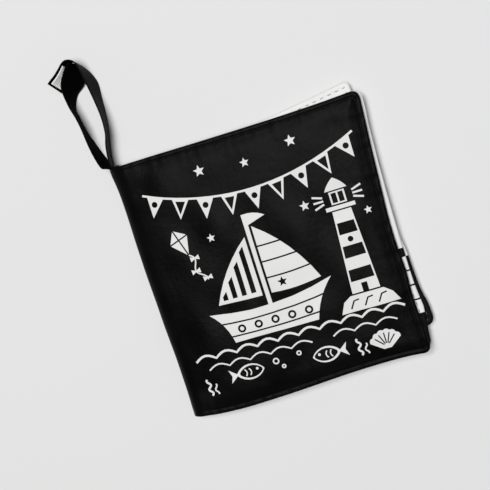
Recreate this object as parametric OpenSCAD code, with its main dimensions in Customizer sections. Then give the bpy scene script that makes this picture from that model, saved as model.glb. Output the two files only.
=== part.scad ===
// A small cloth book: two padded covers, two sewn leaves and a ribbon loop.
// X runs from the spine to the fore edge, Y along the spine towards the loop, Z up.
// The origin is the middle of the back cover's underside, which rests on the table.

/* [Covers] */
// Width of a cover, from the hinge side to the fore edge
cover_w = 140; // [120:1:180]
// Height of a cover, along the spine
cover_h = 150; // [130:1:200]
// Thickness of a padded cover
cover_t = 3.8; // [3:0.1:6]
// Radius of a cover's corners at the fore edge
cover_r = 6; // [3:0.5:10]
// Radius of a cover's corners at the hinge side
hinge_r = 1.5; // [1:0.5:3]

/* [Leaves] */
// Thickness of a padded leaf
leaf_t = 3; // [2.6:0.1:5]
// Space between the two leaves
leaf_gap = 0.4; // [0.3:0.1:2]
// Space between a cover and the sewn spine inside it
cover_clear = 0.35; // [0.3:0.05:1]
// Height of the upper leaf
upper_leaf_h = 146; // [120:1:150]
// How far the upper leaf stops short of the cover's fore edge
upper_leaf_short = -1; // [-2:0.5:6]
// Height of the lower leaf
lower_leaf_h = 143; // [115:1:145]
// How far the lower leaf's middle is shifted towards the loop
lower_leaf_shift = 4; // [0:0.5:8]
// How far the lower leaf sticks out past the cover, halfway up the fore edge
lower_leaf_out = 0.8; // [0:0.2:4]
// Angle by which the lower leaf's top and foot were sewn on skew
skew_turn = 6; // [0:0.5:7]
// Angle by which the lower leaf's fore edge leans
fore_turn = 3; // [0:0.5:4]

/* [Sewing] */
// Thickness of the flat rim outside the padding
rim_t = 2; // [1.6:0.1:2.4]
// Distance from the edge to the topstitching
stitch_in = 3.2; // [2.6:0.1:5]
// Thickness of the sewing thread
thread_w = 0.7; // [0.5:0.1:1]
// How far the topstitching sinks into the cloth
stitch_sink = 0.3; // [0.1:0.1:0.5]
// Width of the sloping shoulder of the padding
shoulder_w = 4; // [2:0.5:6]

/* [Spine] */
// Thickness of the cloth binding around the leaves
binding_t = 0.4; // [0.3:0.1:0.4]
// Width of the binding on each face of the leaves
binding_w = 8; // [6:0.5:10]
// How far the sewn root of the leaves reaches past the binding
root_past = 2; // [1:0.5:4]
// How far the spine runs past the covers at each end
spine_past = 0.3; // [0.3:0.1:1]

/* [Ribbon loop] */
// Width of the ribbon
ribbon_w = 15; // [10:0.5:16]
// Thickness of the ribbon
ribbon_t = 0.9; // [0.6:0.1:1.4]
// Reach of the loop past the top of the spine
loop_reach = 66; // [60:1:90]
// Width of the hook and loop patches
patch_w = 12; // [8:0.5:14]
// Thickness of a hook and loop patch
patch_t = 0.8; // [0.6:0.1:1]

/* [Print] */
// Thickness of the printed colour
print_t = 0.15; // [0.1:0.05:0.2]
// Width of a thin printed line
line_w = 0.9; // [0.6:0.1:1.4]

/* [Hidden] */

thread_h = stitch_sink + 0.1;
cover_gap = binding_t + thread_h / 2 + cover_clear;
root_w = binding_w + root_past;
spine_h = cover_h + 2 * spine_past;
block_t = 2 * leaf_t + leaf_gap;
leaf_z = cover_t + cover_gap;
upper_leaf_z = leaf_z + leaf_t + leaf_gap;
front_z = leaf_z + block_t + cover_gap;
book_t = front_z + cover_t;
hinge_x = -cover_w / 2 - 0.3;
hinge_z = book_t / 2;
groove_w = thread_w + 0.3;
pad_in = stitch_in + groove_w / 2 + 0.4;
flat_in = pad_in + shoulder_w;
fit = 0.05;
tape_fit = 0.25;
band_steps = 4;
art_w = cover_w - 2 * flat_in;
art_h = cover_h - 2 * flat_in;
drawn_w = 124;
drawn_h = 134;
picture = min(art_w / drawn_w, art_h / drawn_h);
ribbon_z = max(hinge_z, ribbon_w / 2 + 0.4);

// Corners run counterclockwise from the hinge side's foot.
function sheet_corners(w, h) = [[-cover_w / 2, -h / 2], [w - cover_w / 2, -h / 2],
                                [w - cover_w / 2, h / 2], [-cover_w / 2, h / 2]];
cover_corners = sheet_corners(cover_w, cover_h);
upper_corners = sheet_corners(cover_w - upper_leaf_short, upper_leaf_h);
lower_fore_x = cover_w / 2 + lower_leaf_out;
lower_lean = lower_leaf_h / 2 * tan(fore_turn);
lower_drop = cover_w * tan(skew_turn);
lower_corners = [[-cover_w / 2, lower_leaf_shift - lower_leaf_h / 2 - lower_drop / 2],
                 [lower_fore_x + lower_lean, lower_leaf_shift - lower_leaf_h / 2 + lower_drop / 2],
                 [lower_fore_x - lower_lean, lower_leaf_shift + lower_leaf_h / 2 + lower_drop / 2],
                 [-cover_w / 2, lower_leaf_shift + lower_leaf_h / 2 - lower_drop / 2]];
radii = [hinge_r, cover_r, cover_r, hinge_r];

function unit(v) = v / norm(v);
function wrap(i, n) = (i + n) % n;
function corner_half(p, i) = acos(unit(p[wrap(i - 1, 4)] - p[i]) * unit(p[wrap(i + 1, 4)] - p[i])) / 2;
function corner_bisector(p, i) = unit(unit(p[wrap(i - 1, 4)] - p[i]) + unit(p[wrap(i + 1, 4)] - p[i]));
function inset(p, d) = [for (i = [0:3]) p[i] + corner_bisector(p, i) * d / sin(corner_half(p, i))];

// Four corners with each one rounded by its own radius.
function rounded(p, r) = [for (i = [0:3])
    let (half = corner_half(p, i),
         out = -corner_bisector(p, i),
         centre = p[i] - out * r[i] / sin(half),
         middle = atan2(out[1], out[0]))
    for (a = [-1:0.25:1]) centre + r[i] * [cos(middle + a * (90 - half)), sin(middle + a * (90 - half))]];

module sheet(corners, d) {
    polygon(rounded(inset(corners, d), [for (r = radii) max(r - d, 0.8)]));
}

module stitch_line(corners, w) {
    difference() {
        sheet(corners, stitch_in - w / 2);
        sheet(corners, stitch_in + w / 2);
    }
}

// A quilted sheet: a flat rim with a sewn groove, and padding between its sloping shoulders.
module padded_sheet(corners, t) {
    difference() {
        translate([0, 0, (t - rim_t) / 2]) linear_extrude(rim_t) sheet(corners, 0);
        for (z = [(t + rim_t) / 2 - stitch_sink, (t - rim_t) / 2 - 1 + stitch_sink])
            translate([0, 0, z]) linear_extrude(1) stitch_line(corners, groove_w);
    }
    hull() {
        translate([0, 0, (t - rim_t) / 2]) linear_extrude(rim_t) sheet(corners, pad_in);
        linear_extrude(t) sheet(corners, flat_in);
    }
}

// The thread of a quilted sheet, on its upper and its lower face. It stops short of the sewn side.
module topstitch(corners, t, from) {
    for (z = [(t + rim_t) / 2 - stitch_sink, (t - rim_t) / 2 + stitch_sink - thread_h])
        translate([0, 0, z]) linear_extrude(thread_h) intersection() {
            stitch_line(corners, thread_w);
            translate([from, -cover_h]) square([2 * cover_w, 2 * cover_h]);
        }
}

module back_cover() {
    color("#17171a") padded_sheet(cover_corners, cover_t);
}

module back_topstitch() {
    color("#2a2a2e") topstitch(cover_corners, cover_t, flat_in - cover_w / 2);
}

module front_cover() {
    color("#17171a") translate([0, 0, front_z]) padded_sheet(cover_corners, cover_t);
}

module front_topstitch() {
    color("#2a2a2e") translate([0, 0, front_z]) topstitch(cover_corners, cover_t, flat_in - cover_w / 2);
}

// The two leaves are one solid, gathered and sewn together along their root.
module pages() {
    color("#f0f0ee") {
        translate([0, 0, upper_leaf_z]) padded_sheet(upper_corners, leaf_t);
        translate([0, 0, leaf_z]) padded_sheet(lower_corners, leaf_t);
        translate([hinge_x, -spine_h / 2, leaf_z]) cube([root_w, spine_h, block_t]);
        translate([hinge_x, 0, hinge_z]) rotate([90, 0, 0])
            cylinder(h = spine_h, r = block_t / 2, center = true, $fn = 64);
    }
}

module page_topstitch() {
    color("#55555a") {
        translate([0, 0, upper_leaf_z]) topstitch(upper_corners, leaf_t, hinge_x + root_w + fit);
        translate([0, 0, leaf_z]) topstitch(lower_corners, leaf_t, hinge_x + root_w + fit);
    }
}

// Folded binding: round over the hinge side, flat on both faces of the leaves.
module binding_profile(grow) {
    circle(r = block_t / 2 + grow, $fn = 64);
    translate([0, -block_t / 2 - grow]) square([binding_w, block_t + 2 * grow]);
}

module spine() {
    color("#1b1b1e") translate([hinge_x, spine_h / 2, hinge_z]) rotate([90, 0, 0])
        linear_extrude(spine_h) difference() {
            binding_profile(binding_t);
            binding_profile(0);
            translate([0, -block_t / 2]) square([2 * binding_w, block_t]);
        }
}

module spine_stitch() {
    color("#2a2a2e") for (z = [leaf_z - binding_t - thread_h / 2, leaf_z + block_t + binding_t])
        translate([hinge_x + binding_w - 2, -spine_h / 2 + 1, z])
            cube([thread_w, spine_h - 2, thread_h / 2]);
}

// Stations of the ribbon: across and along from its root, and how its upper edge leans there.
// The short arm runs up the spine side and ends inside the bend.
short_arm = [[-2.05, 0.6, 0.2, -0.12], [-4.1, 2.4, 0.11, -0.22], [-6.4, 5.1, 0, -0.41],
             [-8.2, 10.9, 0, -0.29], [-9.7, 17.5, 0.05, -0.16], [-11.4, 26.7, 0.16, -0.02],
             [-12.5, 33.7, 0.16, -0.04], [-13.5, 39.8, 0.07, 0.08], [-12.1, 47.2, -0.26, 0.1],
             [-8.8, 53, -0.86, 0.33], [-6.3, 57.5, -0.66, 0.36], [-4.9, 61.4, -0.3, 0.22]];
// The long arm runs up the fore side, turns over the bend and ends outside it.
long_arm = [[-1.9, 0.9, 0.19, -0.03], [-1.8, 4.2, 0.14, 0.01], [-1.3, 8.2, 0.11, -0.01],
            [-0.2, 13.9, 0.1, -0.01], [1.4, 20.3, 0.14, 0.01], [2.5, 29.8, 0.07, 0.03],
            [2.3, 41, -0.05, 0.12], [1.9, 50.2, -0.17, 0.05], [-0.7, 59.1, -0.03, 0.1],
            [-4.6, 64.4, 0.23, -0.02], [-7.7, 64.7, 0.03, 0.11], [-11, 59.5, -0.24, 0.35],
            [-14.4, 55.8, -0.37, 0.51], [-18.6, 51.7, -0.55, 0.94]];
drawn_reach = 66;
root_x = hinge_x - 3;
root_y = spine_h / 2 + 0.6;
root_h = min(ribbon_w, 2 * ribbon_z - 4);
root_tab = [5.6, 2];
hook_from = 10.5;
loop_from = 8;
patch_lift = (ribbon_t + patch_t) / 2 + tape_fit;

// Smooth curve through the stations: a whole number is a station, a fraction lies between two.
function station(s, i) = s[min(max(i, 0), len(s) - 1)];
function blend4(a, b, c, d, f) =
    (2 * b + (c - a) * f + (2 * a - 5 * b + 4 * c - d) * f * f + (3 * b - a - 3 * c + d) * f * f * f) / 2;
function along(s, t) = let (i = floor(t), f = t - i)
    blend4(station(s, i - 1), station(s, i), station(s, i + 1), station(s, i + 2), f);
function middle_at(s, t) = let (p = along(s, t))
    [root_x + p[0], root_y + p[1] * loop_reach / drawn_reach, ribbon_z];
function edge_at(s, t) = let (p = along(s, t)) unit([p[2], p[3], 1]);
function face_at(s, t) = unit(cross(middle_at(s, t + 0.05) - middle_at(s, t - 0.05), edge_at(s, t)));

// A band that follows the stations from one to another, raised off their middle line by lift.
module band(s, from, to, w, t, lift) {
    steps = band_steps * (to - from);
    rings = [for (k = [0:steps])
        let (u = from + k / band_steps, c = middle_at(s, u), e = edge_at(s, u) * w / 2, f = face_at(s, u))
        for (q = [[-1, -1], [1, -1], [1, 1], [-1, 1]]) c + q[0] * e + (lift + q[1] * t / 2) * f];
    last = 4 * steps;
    sides = [for (k = [0:steps - 1], j = [0:3]) let (a = 4 * k + j, b = 4 * k + (j + 1) % 4)
        for (half = j == 2 ? [[a, a + 4, b], [b, a + 4, b + 4]] : [[a, b + 4, b], [a, a + 4, b + 4]]) half];
    polyhedron(rings, concat([[0, 1, 2, 3]], sides, [[last + 3, last + 2, last + 1, last]]));
}

module strap() {
    color("#202024") {
        band(short_arm, 0, len(short_arm) - 1, ribbon_w, ribbon_t, 0);
        band(long_arm, 0, len(long_arm) - 1, ribbon_w, ribbon_t, 0);
        translate([hinge_x - root_tab[0], spine_h / 2 + fit, ribbon_z - root_h / 2])
            cube([root_tab[0], root_tab[1], root_h]);
    }
}

module hook_patch() {
    color("#e9e9e6") band(long_arm, hook_from, len(long_arm) - 1.25, patch_w, patch_t, -patch_lift);
}

module loop_patch() {
    color("#e9e9e6") band(short_arm, loop_from, len(short_arm) - 1.75, patch_w, patch_t, -patch_lift);
}

// Drawn lines. Each has even width, and its corners are mitred.
function side_point(p, i, d) = let (
    before = p[max(i - 1, 0)],
    after = p[min(i + 1, len(p) - 1)],
    way = unit(after - before))
    p[i] + d * [-way[1], way[0]];
function drawn(p, w) = concat([for (i = [0:len(p) - 1]) side_point(p, i, w / 2)],
                              [for (i = [len(p) - 1:-1:0]) side_point(p, i, -w / 2)]);
module line(p, w = line_w) polygon(drawn(p, w));
function arc(c, r, from, to, n = 8) = [for (k = [0:n])
    let (a = from + (to - from) * k / n) c + r * [cos(a), sin(a)]];

module star(r) {
    polygon([for (k = [0:9]) (k % 2 == 0 ? r : 0.45 * r) * [sin(36 * k), cos(36 * k)]]);
}

// A curve from one point to another that bulges to its left by d.
function bow(a, b, d, n = 6) = let (v = b - a, side = [-v[1], v[0]] / norm(v))
    [for (k = [0:n]) let (f = k / n) a + f * v + 4 * f * (1 - f) * d * side];

// A string of small flags that sags between the two sides of the picture.
flag_count = 9;
flag_w = 9.4;
flag_h = 11.4;
string_sag = 14;
string_low = 42;
function string_y(x) = string_low + string_sag * pow(2 * x / drawn_w, 2);
module bunting() {
    line([for (k = [0:20]) let (x = drawn_w * (k / 20 - 0.5)) [x, string_y(x)]], 1.2);
    for (k = [0:flag_count - 1]) {
        x = drawn_w * ((k + 0.5) / flag_count - 0.5);
        slope = atan(8 * string_sag * x / (drawn_w * drawn_w));
        translate([x, string_y(x) - 0.5]) rotate(slope) difference() {
            polygon([[-flag_w / 2, 0], [flag_w / 2, 0], [0, -flag_h]]);
            if (k % 2 == 0) translate([0, -3.6]) circle(r = 1.7, $fn = 24);
            else polygon([[-flag_w / 2 + 1.9, -1.1], [flag_w / 2 - 1.9, -1.1], [0, -flag_h + 2.8]]);
        }
    }
}

// A boat with two sails, a planked hull and round windows.
boat_l = 72;
mast_h = 50;
window_r = 2.4;
module hull_side() {
    polygon(concat(bow([-0.5 * boat_l, 0], [0.52 * boat_l, 3], -4.4),
                   bow([0.52 * boat_l, 3], [0.33 * boat_l, -19], -1.8),
                   bow([-0.36 * boat_l, -19], [-0.5 * boat_l, 0], -1.8)));
}
module boat() {
    difference() {
        hull_side();
        line(bow([-0.52 * boat_l, -6.4], [0.52 * boat_l, -4.6], -2.6), 0.9);
        line(bow([-0.52 * boat_l, -14.6], [0.52 * boat_l, -13.8], -1.6), 0.9);
        for (x = [-20:10:20]) translate([x, -12]) circle(r = window_r, $fn = 24);
    }
    for (x = [-20:10:20]) translate([x, -12]) circle(r = window_r / 2, $fn = 24);
    translate([-1.2, -3]) square([2.4, mast_h + 3]);
    polygon(concat([[1.2, mast_h - 6.6]], bow([1.2, mast_h], [12, mast_h - 3.4], 0.9)));
    difference() {
        polygon(concat([[2.6, 3]], bow([2.6, 3], [32, 4.2], -1), bow([32, 4.2], [2.6, 42.4], -3.4)));
        for (y = [12, 21.4, 30.6]) line(bow([0, y], [34, y + 1.4], -0.8), 0.9);
        translate([10.4, 7.6]) star(3);
    }
    difference() {
        polygon(concat([[-2.8, 3]], bow([-2.8, 37.6], [-29, 4], -2.6)));
        for (k = [0:3]) translate([-5.6 - 5.6 * k, 5.8])
            polygon([[0, 0], [-2.9, 0], [-2.9, 24.4 - 7.4 * k], [0, 27.2 - 7.4 * k]]);
    }
}

// A banded tower with a gallery, a lamp room, a roof and rays of light.
tower_h = 47;
tower_w = 16;
tower_taper = 2.6;
band_count = 7;
module tower_side(from, to) {
    polygon([for (q = [[-1, from], [1, from], [1, to], [-1, to]])
        [q[0] * (tower_w / 2 - tower_taper * q[1] / tower_h), q[1]]]);
}
module lighthouse() {
    band_h = tower_h / band_count;
    for (k = [0:2:band_count - 1]) difference() {
        tower_side(k * band_h, (k + 1) * band_h);
        if (k == 0) translate([-1.7, -1]) square([3.4, band_h - 0.8]);
        if (k == 4) translate([0, (k + 0.5) * band_h]) circle(r = 1.6, $fn = 24);
    }
    for (side = [-1, 1])
        line([[side * (tower_w - line_w) / 2, 0], [side * ((tower_w - line_w) / 2 - tower_taper), tower_h]]);
    translate([-8.4, tower_h + 0.8]) square([16.8, 2.2]);
    difference() {
        translate([-4.4, tower_h + 3.9]) square([8.8, 7.2]);
        for (x = [-3.4, 0.5]) translate([x, tower_h + 4.7]) square([2.9, 5.6]);
    }
    translate([0, tower_h + 11.9])
        polygon(concat(bow([6.4, 0], [0, 6.8], -0.6), bow([0, 6.8], [-6.4, 0], -0.6)));
    for (side = [-1, 1], rise = [-3.6, 0, 3.6])
        line([[side * 8.4, tower_h + 7.4 + 0.5 * rise], [side * 14, tower_h + 7.4 + rise]], 1.1);
    difference() {
        polygon([[-17, -10], [-14, -3.6], [-9.6, -0.9], [9.6, -0.9], [14, -4.4], [17, -10]]);
        for (x = [-11, -3, 5]) line([[x, -8.2], [x + 2.6, -4], [x + 5.6, -3.6]], 0.9);
    }
}

function swell(from, to, y, h, l) = [for (k = [0:6 * (to - from) / l]) let (x = from + k * l / 6)
    [x, y + h * abs(sin(180 * (x - from) / l)) - h / 2]];
swell_l = 12.4;
module sea() {
    line(swell(-5 * swell_l, 5 * swell_l, -43.6, 2.8, swell_l), 1.3);
    line(swell(-4.5 * swell_l, 0.5 * swell_l, -50, 2.5, swell_l));
    line(swell(1.5 * swell_l, 4.5 * swell_l, -50, 2.5, swell_l));
}

module fish() {
    difference() {
        polygon(concat(arc([0, -5.4], 10, 35, 145), arc([0, 5.4], 10, 215, 325)));
        polygon(concat(arc([0.4, -5.4], 9, 42, 138), arc([0.4, 5.4], 9, 222, 318)));
    }
    polygon([[-7.2, 0], [-12.4, 4], [-11, 0], [-12.4, -4]]);
    translate([4.2, 0.8]) circle(r = 0.8, $fn = 16);
    for (x = [-3, -0.4]) line(arc([x - 1.8, 0], 2.6, -50, 50, 5), 0.7);
}

module ring(r, w) {
    difference() {
        circle(r = r, $fn = 24);
        circle(r = r - w, $fn = 24);
    }
}

// A fan shell: ribs spread from its foot to a lobed rim.
lobe_turn = 22;
module shell() {
    difference() {
        polygon(concat([[-2.2, -1], [2.2, -1]], [for (k = [0:5]) let (a = 24 + k * lobe_turn)
            each bow(9.6 * [cos(a), sin(a)], 9.6 * [cos(a + lobe_turn), sin(a + lobe_turn)], -0.9, 3)]));
        for (k = [-2:2]) rotate(lobe_turn * k) translate([-0.35, 2]) square([0.7, 6.2]);
    }
}

module weed() {
    line([for (k = [0:14]) [sin(50 * k), 0.7 * k]], 1.2);
    line([for (k = [0:9]) [3.6 + 0.8 * sin(50 * k + 60), 0.7 * k]]);
}

// A kite with a cross of spars and a tail of bows.
module kite() {
    difference() {
        polygon([[0, 8.4], [5.8, 2], [0, -8.4], [-5.8, 2]]);
        translate([-0.4, -9]) square([0.8, 18]);
        translate([-6, 1.6]) square([12, 0.8]);
    }
    line([for (k = [0:16]) [1.8 * sin(30 * k), -8.2 - 1.1 * k]], 0.8);
    for (k = [3, 9, 15]) translate([1.8 * sin(30 * k), -8.2 - 1.1 * k]) rotate(k % 2 == 0 ? 10 : -14)
        polygon([[-2.6, 1.5], [0, 0.3], [2.6, 1.5], [2.6, -1.5], [0, -0.3], [-2.6, -1.5]]);
}

module cover_art() {
    scale(picture) {
        bunting();
        translate([-49, 24]) rotate(18) kite();
        translate([-10, -20.6]) boat();
        translate([44, -31]) lighthouse();
        sea();
        translate([-33, -58]) fish();
        translate([12, -60]) mirror([1, 0]) fish();
        translate([46, -65]) shell();
        for (x = [-59, 31]) translate([x, -66]) weed();
        for (b = [[-17, -56, 1.9], [-13.4, -60, 1.3], [-3, -55, 1.5]])
            translate([b[0], b[1]]) ring(b[2], 0.8);
        for (p = [[-26, 60, 3.4], [0, 57, 2.8], [28, 61, 3.4], [25, 24, 3], [-31, 22, 2.6], [58, 12, 2.4]])
            translate([p[0], p[1]]) star(p[2]);
    }
}

module cover_print() {
    color("#e6e6e4") translate([0, 0, book_t]) linear_extrude(print_t) cover_art();
}

// The faces inside carry bold plain shapes, black on white and white on black.
ring_radii = [50, 34, 18];
ring_w = 8;
module front_inner_print() {
    color("#f0f0ee") translate([0, 0, front_z - print_t]) linear_extrude(print_t) difference() {
        sheet(cover_corners, flat_in + 0.1);
        for (r = ring_radii) difference() {
            circle(r = picture * r, $fn = 72);
            circle(r = picture * (r - ring_w), $fn = 72);
        }
    }
}

shape_pitch = [36, 38];
shape_r = 15;
disc_r = 11;
module back_inner_print() {
    color("#f0f0ee") translate([0, 0, cover_t]) linear_extrude(print_t) difference() {
        sheet(cover_corners, flat_in + 0.1);
        scale(picture) for (x = [-1:1], y = [-1:1]) translate([shape_pitch[0] * x, shape_pitch[1] * y]) {
            if ((x + y) % 2 == 0) star(shape_r);
            else circle(r = disc_r, $fn = 48);
        }
    }
}

// A pier of planks over dark water, on the upper face of the upper leaf.
plank_h = 7.6;
plank_gap = 0.9;
plank_from = 8;
plank_foot = 12.2;
post_w = 4;
water_h = 50.4;
ring_in = 9;
ring_out = 16;
ray_l = 6;
page_foot = (flat_in - upper_leaf_h / 2) / picture;
water_top = page_foot + water_h;
module planks(w) {
    for (k = [0:3]) translate([plank_from, page_foot + plank_foot + k * (plank_h + plank_gap)])
        square([w, plank_h]);
}

module upper_page_art() {
    scale(picture) {
        right = art_w / picture / 2 - root_w / 2;
        left = right - art_w / picture + root_w;
        difference() {
            polygon(concat([[right, page_foot], [right, water_top]],
                [for (k = [36:-1:0]) [left + (right - left) * k / 36, water_top + 3 * abs(sin(30 * k))]],
                [[left, page_foot]]));
            planks(right - plank_from + 1);
            for (x = [14, 40]) translate([x, page_foot - 1]) square([post_w, plank_foot + 2]);
            translate([-24, page_foot + 24]) rotate(12) scale(2) fish();
        }
        translate([-20, water_top + 40]) {
            difference() {
                circle(r = ring_out, $fn = 72);
                circle(r = ring_in, $fn = 72);
            }
            for (a = [0:30:330]) rotate(a) translate([ring_out + 3, -1.2]) square([ray_l, 2.4]);
        }
    }
}

stripe_h = 8;
stripe_from = -47;
stripe_l = 104;
well_r = 30;
lower_star_r = 26;
module lower_page_art() {
    scale(picture) {
        for (k = [-3:3]) difference() {
            translate([stripe_from, 2 * stripe_h * k - stripe_h / 2]) square([stripe_l, stripe_h]);
            translate([stripe_from + stripe_l / 2, 0]) circle(r = well_r, $fn = 72);
        }
        translate([stripe_from + stripe_l / 2, 0]) star(lower_star_r);
    }
}

// At the fore edge the dark ground runs out over the rim of each leaf, past its stitches.
ground_top = -20;
module fore_rim(corners, top) {
    intersection() {
        difference() {
            sheet(corners, fit);
            sheet(corners, stitch_in - groove_w / 2 - fit);
        }
        translate([cover_w / 2 - 2 * stitch_in, -cover_h]) square([cover_w, cover_h + top]);
    }
}

module page_print() {
    color("#17171a") {
        translate([0, 0, upper_leaf_z + (leaf_t + rim_t) / 2]) linear_extrude(print_t) difference() {
            fore_rim(upper_corners, picture * water_top);
            scale(picture) planks(cover_w);
        }
        translate([0, 0, leaf_z + (leaf_t + rim_t) / 2]) linear_extrude(print_t)
            fore_rim(lower_corners, picture * ground_top);
        translate([0, 0, upper_leaf_z + leaf_t]) linear_extrude(print_t) upper_page_art();
        translate([0, 0, leaf_z - print_t]) linear_extrude(print_t) lower_page_art();
    }
}

back_cover();
back_topstitch();
back_inner_print();
pages();
page_print();
page_topstitch();
spine();
spine_stitch();
strap();
hook_patch();
loop_patch();
front_cover();
front_topstitch();
front_inner_print();
cover_print();
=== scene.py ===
"""Looks of a small cloth book with a ribbon loop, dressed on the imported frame.

X runs from the spine to the fore edge, Y along the spine towards the loop, Z up, in metres.
"""

import logging
import math
from dataclasses import dataclass, field
from enum import Enum
from typing import Sequence

import bmesh
import bpy
import numpy as np
from mathutils import Matrix, Vector
from mathutils.bvhtree import BVHTree


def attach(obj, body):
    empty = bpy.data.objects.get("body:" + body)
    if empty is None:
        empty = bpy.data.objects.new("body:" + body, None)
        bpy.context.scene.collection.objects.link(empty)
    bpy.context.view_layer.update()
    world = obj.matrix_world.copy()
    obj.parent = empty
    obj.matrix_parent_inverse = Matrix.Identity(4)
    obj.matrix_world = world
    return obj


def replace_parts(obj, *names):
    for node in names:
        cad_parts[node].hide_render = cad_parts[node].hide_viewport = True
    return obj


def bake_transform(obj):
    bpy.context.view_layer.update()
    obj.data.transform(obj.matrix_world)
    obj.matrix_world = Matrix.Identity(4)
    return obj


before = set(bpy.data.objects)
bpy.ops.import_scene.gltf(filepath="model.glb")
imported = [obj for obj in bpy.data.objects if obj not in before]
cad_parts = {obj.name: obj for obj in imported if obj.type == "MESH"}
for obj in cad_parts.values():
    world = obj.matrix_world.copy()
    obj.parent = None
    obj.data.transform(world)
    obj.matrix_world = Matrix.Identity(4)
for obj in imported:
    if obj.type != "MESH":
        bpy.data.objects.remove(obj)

LOG = logging.getLogger("cloth_book")
MM = 0.001
HINGE = (-70.3 * MM, 7.95 * MM)
BOOK_T = 15.9 * MM

Point = tuple[float, float]


class Face(Enum):
    """The face of a sewn sheet that something lies on."""

    UPPER = 1
    LOWER = -1


class Weave(Enum):
    """How the threads of a fabric cross."""

    PLAIN = "plain"
    RIB = "rib"
    NAP = "nap"


def ease(value: np.ndarray) -> np.ndarray:
    """Smooth step of values that run from 0 to 1."""
    held = np.clip(value, 0.0, 1.0)
    return held * held * (3.0 - 2.0 * held)


def through(points: Sequence[Sequence[float]], steps: int = 12) -> np.ndarray:
    """Smooth curve through points.

    Args:
        points: Points of any dimension, in order.
        steps: Samples between two neighbours.

    Returns:
        Array of samples, the first and last point included.
    """
    rows = np.asarray(points, float)
    padded = np.vstack([2 * rows[0] - rows[1], rows, 2 * rows[-1] - rows[-2]])
    out = []
    for i in range(len(rows) - 1):
        a, b, c, d = padded[i:i + 4]
        f = np.linspace(0, 1, steps, endpoint=False)[:, None]
        out.append(0.5 * (2 * b + (c - a) * f + (2 * a - 5 * b + 4 * c - d) * f**2
                          + (3 * b - a - 3 * c + d) * f**3))
    return np.vstack([*out, rows[-1:]])


def lengths(curve: np.ndarray) -> np.ndarray:
    """Distance along a curve at each of its samples."""
    return np.concatenate([[0.0], np.cumsum(np.linalg.norm(np.diff(curve, axis=0), axis=1))])


def at_length(curve: np.ndarray, where: np.ndarray) -> np.ndarray:
    """Points of a curve at distances along it."""
    run = lengths(curve)
    return np.stack([np.interp(where, run, curve[:, k]) for k in range(curve.shape[1])], axis=-1)


def put_in_scene(name: str, data: bpy.types.ID) -> bpy.types.Object:
    """New object for a mesh, lamp or camera, linked to the scene.

    Args:
        name: Name of the object.
        data: What it shows.

    Returns:
        The object.
    """
    made = bpy.data.objects.new(name, data)
    bpy.context.scene.collection.objects.link(made)
    return made


def make_object(name: str, points: np.ndarray, faces: list, material: bpy.types.Material) -> bpy.types.Object:
    """Smooth-shaded mesh object with outward faces.

    Args:
        name: Name of the piece.
        points: Vertex positions in metres.
        faces: Vertex indices of each face.
        material: Finish of the piece.

    Returns:
        The new object, linked to the scene.
    """
    mesh = bpy.data.meshes.new(name)
    mesh.from_pydata([tuple(map(float, p)) for p in points], [], faces)
    shaped = bmesh.new()
    shaped.from_mesh(mesh)
    bmesh.ops.recalc_face_normals(shaped, faces=shaped.faces)
    shaped.to_mesh(mesh)
    shaped.free()
    mesh.shade_smooth()
    mesh.materials.append(material)
    return put_in_scene(name, mesh)


def band_faces(rows: int, around: int, base: int = 0) -> list[tuple[int, ...]]:
    """Faces of a closed band: its sides row by row, then its two ends.

    Args:
        rows: Number of sections along the band.
        around: Number of corners of each section.
        base: Index of the first corner.

    Returns:
        Vertex indices of each face.
    """
    faces = []
    for k in range(rows - 1):
        for j in range(around):
            a, b = base + k * around + j, base + k * around + (j + 1) % around
            faces.append((a, b, b + around, a + around))
    last = base + (rows - 1) * around
    faces.append(tuple(range(base, base + around)))
    faces.append(tuple(reversed(range(last, last + around))))
    return faces


def add_node(tree: bpy.types.NodeTree, kind: str, values: dict | None = None, sources: dict | None = None,
             **options: str) -> bpy.types.Node:
    """Adds a shader node with its inputs set or linked.

    Args:
        tree: Node tree that gets it.
        kind: Type of the node.
        values: Value of each input that is set.
        sources: Socket that each linked input comes from.
        **options: Settings of the node itself.

    Returns:
        The node.
    """
    made = tree.nodes.new(kind)
    for name, value in options.items():
        setattr(made, name, value)
    for name, value in (values or {}).items():
        made.inputs[name].default_value = value
    for name, socket in (sources or {}).items():
        tree.links.new(socket, made.inputs[name])
    return made


@dataclass(frozen=True)
class Waves:
    """Seeded sum of slow waves over a plane, about 1 in height."""

    seed: int
    shortest: float
    longest: float
    count: int = 9

    def __call__(self, x: np.ndarray, y: np.ndarray) -> np.ndarray:
        """Height of the waves at points of the plane.

        Args:
            x: First coordinates.
            y: Second coordinates.

        Returns:
            One height a point.
        """
        rng = np.random.default_rng(self.seed)
        total = np.zeros_like(np.asarray(x, float))
        for _ in range(self.count):
            turn, shift = rng.uniform(0, 2 * np.pi, 2)
            reach = self.shortest * (self.longest / self.shortest) ** rng.uniform()
            total = total + np.sin(2 * np.pi * (x * np.cos(turn) + y * np.sin(turn)) / reach + shift)
        return total / math.sqrt(0.5 * self.count)


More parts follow.
